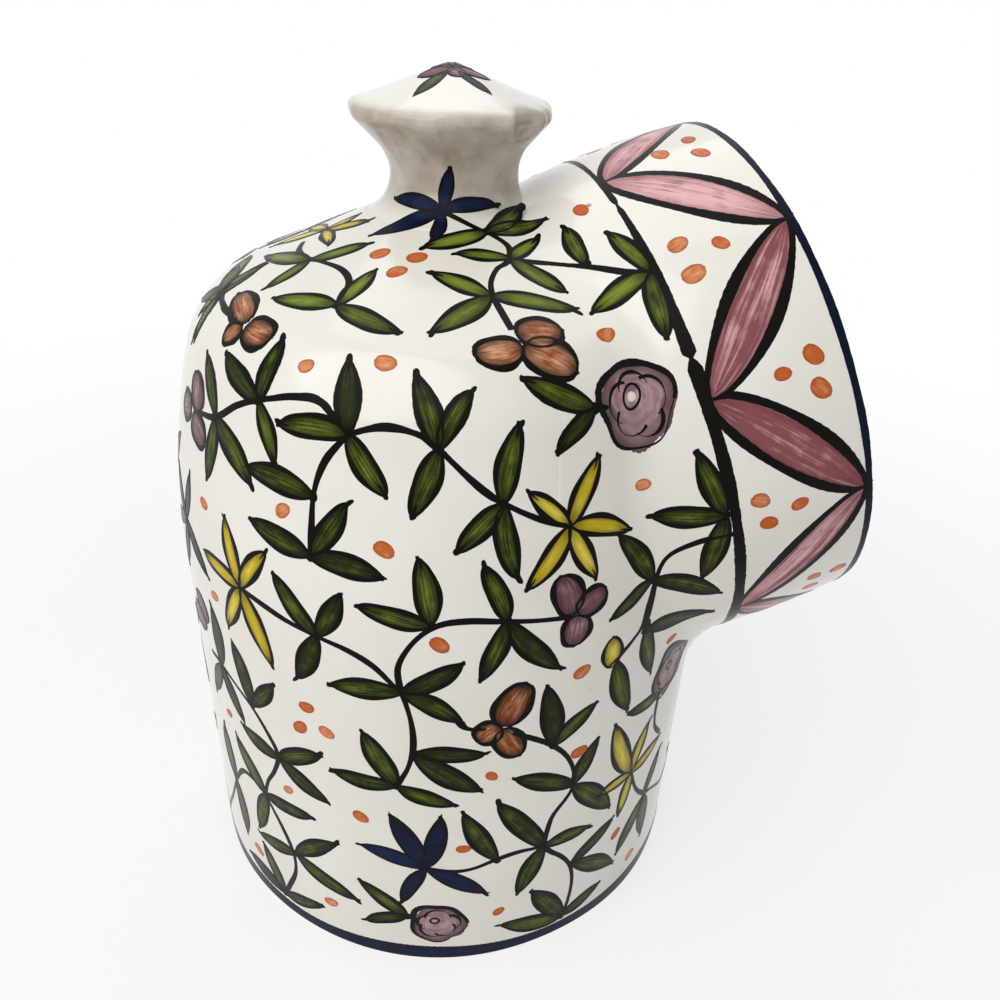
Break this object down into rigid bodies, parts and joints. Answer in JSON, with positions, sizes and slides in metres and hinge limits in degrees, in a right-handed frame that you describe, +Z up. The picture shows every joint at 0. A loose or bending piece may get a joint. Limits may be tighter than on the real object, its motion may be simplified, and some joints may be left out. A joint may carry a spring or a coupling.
{
  "type": "salt pig",
  "caption": "Bell-shaped glazed earthenware salt pig with a mushroom knob and a wide slanted mouth, painted with leafy vines, for keeping cooking salt to hand.",
  "frame": {"origin": "on the bell's axis, on the plane the pot stands on", "axes": "+Z up along the bell's axis; +X towards the mouth, which tilts up out of the XY plane"},
  "size_m": [0.1544, 0.1272, 0.1907],
  "materials": {
    "white_glaze": "glossy white tin glaze with faint waves and pinholes",
    "bare_clay": "matt fired clay under the foot",
    "leaf_green": "glossy brushed leaf green under the glaze",
    "ink_black": "glossy black brush line under the glaze",
    "cobalt_navy": "glossy dark cobalt under the glaze",
    "straw_yellow": "glossy brushed yellow under the glaze",
    "rose_mauve": "glossy washed manganese mauve under the glaze",
    "petal_pink": "glossy streaked pink under the glaze",
    "berry_brown": "glossy washed iron brown under the glaze",
    "dot_orange": "glossy orange dots under the glaze"
  },
  "bodies": {
    "root": {"bell_wall": "white_glaze", "base_disc": "bare_clay", "base_coil": "white_glaze", "mouth_neck": "white_glaze", "mouth_collar": "white_glaze", "knob": "white_glaze"}
  },
  "joints": []
}
